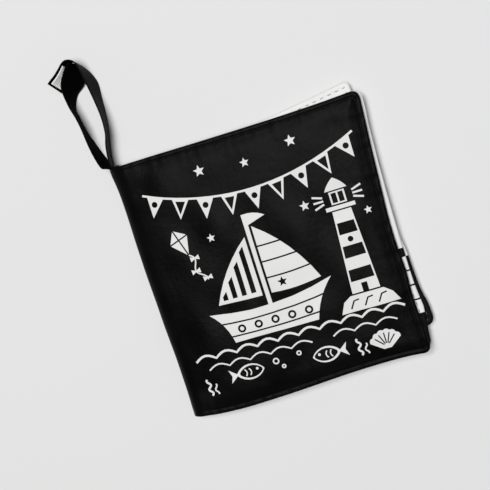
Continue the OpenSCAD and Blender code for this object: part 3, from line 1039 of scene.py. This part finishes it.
@dataclass
class Fastener:
    """Hook and loop patches on the ribbon's tails."""

    ribbon: Ribbon
    tape: bpy.types.Material
    nap: bpy.types.Material
    width: float = 12.0 * MM
    base: float = 0.35 * MM
    hook: float = 0.5 * MM
    pitch: float = 1.15 * MM

    def build(self) -> None:
        """Makes the hook patch with its hooks and the loop patch with its nap."""
        lift = -(self.ribbon.thickness / 2 + self.base / 2 + 0.02 * MM)
        outer = self.ribbon.frame_along(self.ribbon.long_tail, 10.5, 0.25)
        inner = self.ribbon.frame_along(self.ribbon.short_tail, 8, 0.75)
        hooks = self.ribbon.strip("hook_tape", outer, self.width, self.base, lift, self.tape)
        loops = self.ribbon.strip("loop_tape", inner, self.width, 2 * self.base, 1.5 * lift, self.nap)
        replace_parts(hooks, "hook_patch")
        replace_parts(loops, "loop_patch")
        rows = self._hooks(outer, lift)
        for made in (hooks, loops, rows):
            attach(made, "leaves")

    def _hooks(self, along: tuple[np.ndarray, np.ndarray, np.ndarray], lift: float) -> bpy.types.Object:
        """Slanted rows of small hooks on the long tail's patch.

        Args:
            along: Middle line, edge direction and face direction of the patch.
            lift: Distance of the patch from the ribbon's middle.

        Returns:
            All hooks as one piece.
        """
        middle, edge, face = along
        run = lengths(middle)
        points, faces = [], []
        for s in np.arange(0.8 * MM, run[-1] - 0.6 * MM, self.pitch):
            for j, a in enumerate(np.arange(-0.5, 0.5001, self.pitch / self.width)):
                place = s + (0.5 * self.pitch if j % 2 else 0)
                if place > run[-1] - 0.5 * MM or abs(a) > 0.46:
                    continue
                foot = at_length(middle, np.array([place]))[0]
                k = int(np.searchsorted(run, place)) - 1
                e, f = edge[k], face[k]
                way = np.cross(e, f)
                base = foot + e * a * self.width + f * (lift - self.base / 2)
                tip = base + self.hook * np.array([0 * f, -0.6 * f, 0.25 * way - f, 0.6 * way - 0.75 * f])
                tube(tip, np.array([0.16, 0.14, 0.12, 0.08]) * MM, 4, points, faces)
        return make_object("hook_rows", np.array(points), faces, self.tape)


@dataclass
class Spine:
    """The sewn root of the leaves, its cloth binding and the stitches of the binding."""

    cloth: bpy.types.Material
    binding: bpy.types.Material
    thread: bpy.types.Material
    half_length: float = 75.3 * MM

    def _profile_sweep(self, name: str, profile: np.ndarray, material: bpy.types.Material,
                       seed: int, wave: float) -> bpy.types.Object:
        """Closed band that keeps a section along the spine, with soft waves.

        Args:
            name: Name of the piece.
            profile: Corners of the section, across and up.
            material: Finish of the piece.
            seed: Seed of its waves.
            wave: Height of its waves.

        Returns:
            The band.
        """
        ys = np.concatenate([[-1, -0.997, -0.99], np.linspace(-0.98, 0.98, 98), [0.99, 0.997, 1]])
        centre = profile.mean(0)
        stir = Waves(seed, 9 * MM, 40 * MM, 7)
        points, count = [], len(profile)
        for y in ys:
            pull = 1 - 0.06 * (max(0.0, abs(y) - 0.99) / 0.01) ** 2
            bulge = stir(np.full(count, y * self.half_length), profile[:, 0] * 3) * wave
            away = profile - centre
            away = away / np.maximum(np.linalg.norm(away, axis=1)[:, None], 1e-9)
            section = centre + (profile - centre) * pull + away * bulge[:, None]
            points.extend((p[0], y * self.half_length, p[1]) for p in section)
        return make_object(name, np.array(points), band_faces(len(ys), count), material)

    def build_root(self) -> bpy.types.Object:
        """The gathered edges of the leaves, sewn together.

        Returns:
            The root of the leaves.
        """
        x, z = HINGE
        turns = np.linspace(math.pi / 2, 3 * math.pi / 2, 15)
        round_ = [(x + 3.15 * MM * math.cos(a), z + 3.15 * MM * math.sin(a)) for a in turns]
        lower = [(x + 4 * MM, z - 3.12 * MM), (x + 8.5 * MM, z - 2.95 * MM), (x + 10.6 * MM, z - 2.5 * MM),
                 (x + 11.4 * MM, z - 1.6 * MM), (x + 10.8 * MM, z - 0.5 * MM), (x + 9.6 * MM, z)]
        upper = [(p, 2 * z - q) for p, q in lower[::-1][1:]]
        made = self._profile_sweep("leaf_root", np.array(round_ + lower + upper), self.cloth, 31, 0.05 * MM)
        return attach(made, "leaves")

    def build_binding(self) -> bpy.types.Object:
        """The folded strip round the root, flat on both faces of the leaves.

        Returns:
            The binding.
        """
        x, z = HINGE
        turns = np.linspace(math.pi / 2, 3 * math.pi / 2, 17)
        outer, inner = 3.62 * MM, 3.22 * MM
        out = [(x + outer * math.cos(a), z + outer * math.sin(a)) for a in turns]
        back = [(x + inner * math.cos(a), z + inner * math.sin(a)) for a in turns[::-1]]
        far = [x + w * MM for w in (2, 4, 6, 7.4, 7.9)]
        low_out = [(p, z - outer) for p in far]
        low_in = [(p, z - inner) for p in far[::-1]]
        high_in = [(p, z + inner) for p in far]
        high_out = [(p, z + outer) for p in far[::-1]]
        section = np.array(out + low_out + low_in + back + high_in + high_out)
        made = self._profile_sweep("spine_binding", section, self.binding, 32, 0.03 * MM)
        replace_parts(made, "spine")
        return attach(made, "leaves")

    def build_stitches(self) -> bpy.types.Object:
        """Rows of thread along both flaps of the binding.

        Returns:
            All stitches as one piece.
        """
        x, z = HINGE
        points, faces = [], []
        for side in (-1, 1):
            for k in range(31):
                y = (-73.5 + 4.8 * k) * MM
                run = np.linspace(0, 3.5 * MM, 6)
                share = np.linspace(-1, 1, 6)
                lift = 3.62 * MM + (0.2 - 0.4 * np.abs(share) ** 3) * MM
                line = np.column_stack([np.full(6, x + 6.2 * MM), y + run, z + side * lift])
                tube(line, 0.28 * MM * np.sqrt(np.clip(1 - np.abs(share) ** 4, 0.12, 1)), 6, points, faces)
        made = make_object("spine_stitches", np.array(points), faces, self.thread)
        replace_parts(made, "spine_stitch")
        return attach(made, "leaves")


class Studio:
    """Pale floor, soft light and the camera at the photograph's view."""

    FLOOR_TONE = 0.655
    FLOOR_HALF = 3.0
    FLOOR_Z = -0.06 * MM
    SKY = 0.09
    SKY_SEEN = 0.3
    KEY_PLACE = (-0.15, 0.5, 3.0)
    KEY_SIZE = (1.0, 1.5)
    KEY_POWER = 108.0
    LENS = 80.8
    PLACE = (100.8 * MM, 73.7 * MM, 620.0 * MM)
    AXES = ((0.9415, -0.3027, -0.148), (0.2813, 0.9479, -0.1493), (0.1855, 0.0989, 0.9777))

    def floor(self) -> None:
        """A wide pale ground."""
        paper = bpy.data.materials.new("floor_paper")
        paper.use_nodes = True
        shader = paper.node_tree.nodes["Principled BSDF"]
        shader.inputs["Base Color"].default_value = (self.FLOOR_TONE, self.FLOOR_TONE, self.FLOOR_TONE, 1)
        shader.inputs["Roughness"].default_value = 0.95
        shader.inputs["Specular IOR Level"].default_value = 0.0
        size, z = self.FLOOR_HALF, self.FLOOR_Z
        corners = np.array([(-size, -size, z), (size, -size, z), (size, size, z), (-size, size, z)])
        make_object("floor", corners, [(0, 1, 2, 3)], paper)

    def lights(self) -> None:
        """Even sky light and one large soft lamp above."""
        world = bpy.data.worlds.new("studio")
        world.use_nodes = True
        tree = world.node_tree
        sky = tree.nodes["Background"]
        sky.inputs["Color"].default_value = (1, 1, 1, 1)
        sky.inputs["Strength"].default_value = self.SKY
        seen = add_node(tree, "ShaderNodeBackground", {"Color": (1, 1, 1, 1), "Strength": self.SKY_SEEN})
        path = add_node(tree, "ShaderNodeLightPath")
        shown = path.outputs["Is Camera Ray"]
        for ray in ("Is Glossy Ray", "Is Transmission Ray"):
            shown = add_node(tree, "ShaderNodeMath", sources={0: shown, 1: path.outputs[ray]},
                             operation="MAXIMUM").outputs[0]
        mix = add_node(tree, "ShaderNodeMixShader",
                       sources={"Fac": shown, 1: sky.outputs["Background"], 2: seen.outputs["Background"]})
        tree.links.new(mix.outputs["Shader"], tree.nodes["World Output"].inputs["Surface"])
        bpy.context.scene.world = world
        self._lamp("key", self.KEY_PLACE, self.KEY_SIZE, self.KEY_POWER)

    @staticmethod
    def _lamp(name: str, place: tuple[float, float, float], size: Point, power: float) -> None:
        """One rectangular area lamp that faces the book.

        Args:
            name: Name of the lamp.
            place: Where it stands.
            size: Its two sides.
            power: Its power in watts.
        """
        data = bpy.data.lights.new(name, "AREA")
        data.energy, data.shape = power, "RECTANGLE"
        data.size, data.size_y = size
        lamp = put_in_scene(name, data)
        lamp.location = place
        lamp.rotation_euler = (-Vector(place)).to_track_quat("-Z", "Y").to_euler()

    def camera(self) -> None:
        """The camera of the photograph."""
        data = bpy.data.cameras.new("camera")
        data.lens, data.sensor_width = self.LENS, 36.0
        data.clip_start, data.clip_end = 0.01, 20
        camera = put_in_scene("camera", data)
        turn = Matrix(self.AXES).transposed().to_4x4()
        turn.translation = Vector(self.PLACE)
        camera.matrix_world = turn
        bpy.context.scene.camera = camera

    def build(self) -> None:
        """Sets the whole stage."""
        bpy.context.scene.view_settings.view_transform = "Standard"
        self.floor()
        self.lights()
        self.camera()


@dataclass
class Finishes:
    """All materials of the book."""

    black: bpy.types.Material
    page: bpy.types.Material
    white_ink: bpy.types.Material
    black_ink: bpy.types.Material
    black_thread: bpy.types.Material
    grey_thread: bpy.types.Material
    ribbon: bpy.types.Material
    # painted shade: the darker ribbon finish for the faces inside the loop
    ribbon_inside: bpy.types.Material
    tape: bpy.types.Material
    nap: bpy.types.Material

    @classmethod
    def build(cls) -> "Finishes":
        """Makes each finish once.

        Returns:
            The finishes.
        """
        dark, pale = (0.0018, 0.0018, 0.0019), (0.8, 0.8, 0.79)
        return cls(
            black=Fabric("cover_cloth", dark, mottle=0.5, roughness=0.35, specular=0.026, sheen=0.01,
                         uneven=0.5).build(),
            page=Fabric("page_cloth", (0.7, 0.7, 0.69), mottle=0.03).build(),
            white_ink=Fabric("white_print", (0.64, 0.64, 0.63), mottle=0.04, relief=0.15).build(),
            black_ink=Fabric("black_print", dark, mottle=0.2, relief=0.15, roughness=0.55,
                             specular=0.06).build(),
            black_thread=Fabric("black_thread", (0.003, 0.003, 0.003), pitch=0.3 * MM, roughness=0.7,
                                specular=0.1).build(),
            grey_thread=Fabric("grey_thread", (0.12, 0.12, 0.125), pitch=0.3 * MM, roughness=0.7).build(),
            ribbon=Fabric("ribbon", (0.0028, 0.0028, 0.003), pitch=0.9 * MM, weave=Weave.RIB, roughness=0.65,
                          specular=0.05, relief=0.5).build(),
            # painted shade: darker, duller copy of the ribbon for the faces inside the loop, where the loop
            # shades them
            ribbon_inside=Fabric("ribbon_inside", (0.0012, 0.0012, 0.0013), pitch=0.9 * MM, weave=Weave.RIB,
                                 roughness=0.8, specular=0.015, relief=0.5).build(),
            tape=Fabric("fastener_tape", pale, pitch=0.6 * MM, roughness=0.5).build(),
            nap=Fabric("fastener_nap", (0.7, 0.7, 0.69), pitch=0.5 * MM, weave=Weave.NAP, relief=0.8).build())


class ClothBook:
    """The whole book: covers round the spine, leaves, prints, thread and ribbon."""

    SPINE_CURVE = ((-60, 14.0), (-64, 14.05), (-67.5, 13.85), (-70.3, 12.95), (-72.5, 11.3), (-73.9, 9.5),
                   (-74.42, 8.0))
    FREE_SIDES = (0, 1, 2)

    def __init__(self, finishes: Finishes) -> None:
        """Keeps the finishes and lays out the curve round the spine.

        Args:
            finishes: All materials of the book.
        """
        self.finishes = finishes
        self.curve = through(self.SPINE_CURVE) * MM
        self.flat_hinge = -60 - lengths(self.curve)[-1] / MM

    def cover(self, upper: bool) -> PaddedSheet:
        """One padded cover with its half of the cloth round the spine.

        Args:
            upper: Whether it is the front cover, which lies on top.

        Returns:
            The cover's sheet.
        """
        left = self.flat_hinge
        if upper:
            outline = Outline(
                foot=((left, -76.3), (-66, -76.8), (-58.4, -77.6), (-43.8, -78.1), (-28.9, -77.7),
                      (-9.3, -76.7), (10.2, -75.3), (29.5, -74.2), (48.3, -73.8), (60, -74.2), (68.9, -75.3)),
                fore=((68.9, -75.3), (68.2, -60), (67.4, -41.4), (67.9, -26.6), (67.1, -10.9), (67.1, 3),
                      (67.8, 16), (68.6, 30), (69.4, 44), (70.4, 58), (71.6, 76.6)),
                top=((71.6, 76.6), (50, 75.7), (20, 75.3), (-20, 75.5), (-50, 75.9), (left, 76.0)),
                hinge=((left, 76.0), (left, 30), (left, -30), (left, -76.3)),
                radii=(1.2 * MM, 6 * MM, 5.5 * MM, 1.0 * MM))
        else:
            outline = Outline(
                foot=((left, -75.4), (-40, -75.1), (-5, -75.9), (30, -75.2), (69.4, -75.1)),
                fore=((69.4, -75.1), (69.0, -35), (68.6, 5), (69.2, 40), (69.8, 75)),
                top=((69.8, 75), (30, 75.4), (-20, 75.1), (left, 75.3)),
                hinge=((left, 75.3), (left, 30), (left, -30), (left, -75.4)),
                radii=(1.2 * MM, 6 * MM, 6 * MM, 1.0 * MM))
        quilting = Quilting(3.8 * MM) if upper else Quilting(3.8 * MM, crown=0.0, wrinkle=0.1 * MM)
        curve = self.curve if upper else self.curve * (1, -1) + (0, BOOK_T)
        sheet = PaddedSheet("front_cover_quilt" if upper else "back_cover_quilt", outline, quilting,
                            14.0 * MM if upper else 1.9 * MM, self.finishes.black, 3 if upper else 8,
                            Face.UPPER if upper else Face.LOWER, curve)
        made = sheet.build()
        body = "front_cover" if upper else "back_cover"
        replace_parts(made, body)
        if upper:
            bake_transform(made)
        else:
            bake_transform(made)
        LOG.info("%s: %d faces", made.name, len(made.data.polygons))
        return sheet

    def leaf(self, upper: bool) -> PaddedSheet:
        """One padded leaf.

        Args:
            upper: Whether it is the one under the front cover.

        Returns:
            The leaf's sheet.
        """
        if upper:
            outline = Outline(
                foot=((-64, -73.4), (-30, -73.0), (10, -73.5), (45, -73.0), (69.0, -73.4)),
                fore=((69.0, -73.4), (70.2, -60), (71.2, -50), (70.9, -45.9), (70.2, -39), (69.8, -30),
                      (69.7, -10), (69.9, 10), (70.2, 25), (70.7, 40), (71.4, 55), (72.3, 66), (72.7, 76.0)),
                top=((72.7, 76.0), (40, 74.3), (0, 73.4), (-30, 73.1), (-64, 73.0)),
                hinge=((-64, 73.0), (-64, 30), (-64, -30), (-64, -73.4)),
                radii=(1 * MM, 6 * MM, 5 * MM, 1 * MM))
        else:
            outline = Outline(
                foot=((-64, -72.6), (-30, -70.6), (10, -67.2), (45, -64.0), (74.6, -61.2)),
                fore=((74.6, -61.2), (74.0, -50), (72.3, -41), (71.4, -30), (70.9, -17), (69.9, -8),
                      (69.4, 5), (68.4, 40), (67.3, 82.8)),
                top=((67.3, 82.8), (62.7, 82.1), (40, 79.0), (12.1, 75.6), (-20, 72.6), (-64, 69.4)),
                hinge=((-64, 69.4), (-64, 30), (-64, -30), (-64, -72.6)),
                radii=(1 * MM, 5 * MM, 4 * MM, 1 * MM))
        quilting = Quilting(3.0 * MM, rim=1.9 * MM, stitch_in=2.9 * MM, crown=0.0, wrinkle=0.12 * MM,
                            pucker=0.08 * MM, groove=0.2 * MM)
        sheet = PaddedSheet("upper_leaf" if upper else "lower_leaf", outline, quilting,
                            9.65 * MM if upper else 6.25 * MM, self.finishes.page, 14 if upper else 17)
        made = sheet.build()
        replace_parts(made, "pages")
        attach(made, "leaves")
        LOG.info("%s: %d faces", made.name, len(made.data.polygons))
        return sheet

    def stitches(self, name: str, sheet: PaddedSheet, body: str) -> None:
        """Topstitching of one sheet.

        Args:
            name: Name of the piece.
            sheet: The sheet that it holds.
            body: The body that carries it.
        """
        f = self.finishes
        if body == "leaves":
            made = Topstitch(name, sheet, self.FREE_SIDES, f.grey_thread, -58 * MM, 2.6 * MM, 1.9 * MM,
                             0.17 * MM).build()
            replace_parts(made, "page_topstitch")
            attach(made, body)
        else:
            made = Topstitch(name, sheet, self.FREE_SIDES, f.black_thread, -64 * MM).build()
            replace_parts(made, "front_topstitch" if body == "front_cover" else "back_topstitch")
            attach(made, body)

    def prints(self, front: PaddedSheet, back: PaddedSheet, upper: PaddedSheet, lower: PaddedSheet) -> None:
        """Printed fields on the covers and leaves.

        Args:
            front: Sheet of the front cover.
            back: Sheet of the back cover.
            upper: Sheet of the upper leaf.
            lower: Sheet of the lower leaf.
        """
        f = self.finishes
        rows = (("cover_picture", "cover_print", [(front, Face.UPPER)], f.white_ink, "front_cover",
                 "white_print"),
                ("front_inner_field", "front_inner_print", [(front, Face.LOWER)], f.white_ink, "front_cover",
                 "white_print"),
                ("back_inner_field", "back_inner_print", [(back, Face.UPPER)], f.white_ink, "back_cover",
                 "white_print"),
                ("leaf_picture", "page_print", [(upper, Face.UPPER), (lower, Face.LOWER)], f.black_ink,
                 "leaves", "black_print"))
        for name, node, carriers, ink, body, slot in rows:
            made = DrapedPrint(name, node, carriers, ink).build()
            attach(made, body)
            LOG.info("%s: %d faces", name, len(made.data.polygons))
        above = ((-80, -52.7), (-45.1, -44.2), (-36.6, -35.7), (-28.1, -27.2), (-19.6, -14.5))
        for name, sheet, start, spans in (("upper_rim_field", upper, 56.6 * MM, above),
                                          ("lower_rim_field", lower, 50 * MM, ((-80, -20),))):
            made = RimPrint(name, sheet, start, spans, f.black_ink).build()
            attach(made, "leaves")
            LOG.info("%s: %d faces", name, len(made.data.polygons))

    def build(self) -> None:
        """Builds every piece in order."""
        f = self.finishes
        front, back = self.cover(True), self.cover(False)
        upper, lower = self.leaf(True), self.leaf(False)
        self.stitches("front_cover_stitches", front, "front_cover")
        self.stitches("back_cover_stitches", back, "back_cover")
        self.stitches("upper_leaf_stitches", upper, "leaves")
        self.stitches("lower_leaf_stitches", lower, "leaves")
        self.prints(front, back, upper, lower)
        spine = Spine(f.page, f.black, f.black_thread)
        for made in (spine.build_root(), spine.build_binding(), spine.build_stitches()):
            LOG.info("%s: %d faces", made.name, len(made.data.polygons))
        ribbon = Ribbon(f.ribbon, f.ribbon_inside)
        ribbon.tail("ribbon_short_tail", ribbon.short_tail, Face.UPPER)
        ribbon.tail("ribbon_long_tail", ribbon.long_tail, Face.LOWER)
        ribbon.sewn_root()
        Fastener(ribbon, f.tape, f.nap).build()
        LOG.info("ribbon and fastener made")


def main() -> None:
    """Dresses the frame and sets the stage."""
    logging.basicConfig(level=logging.INFO, format="%(message)s")
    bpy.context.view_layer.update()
    ClothBook(Finishes.build()).build()
    Studio().build()
    bpy.context.view_layer.update()
    LOG.info("boxes written")


if __name__ == "__main__":
    main()
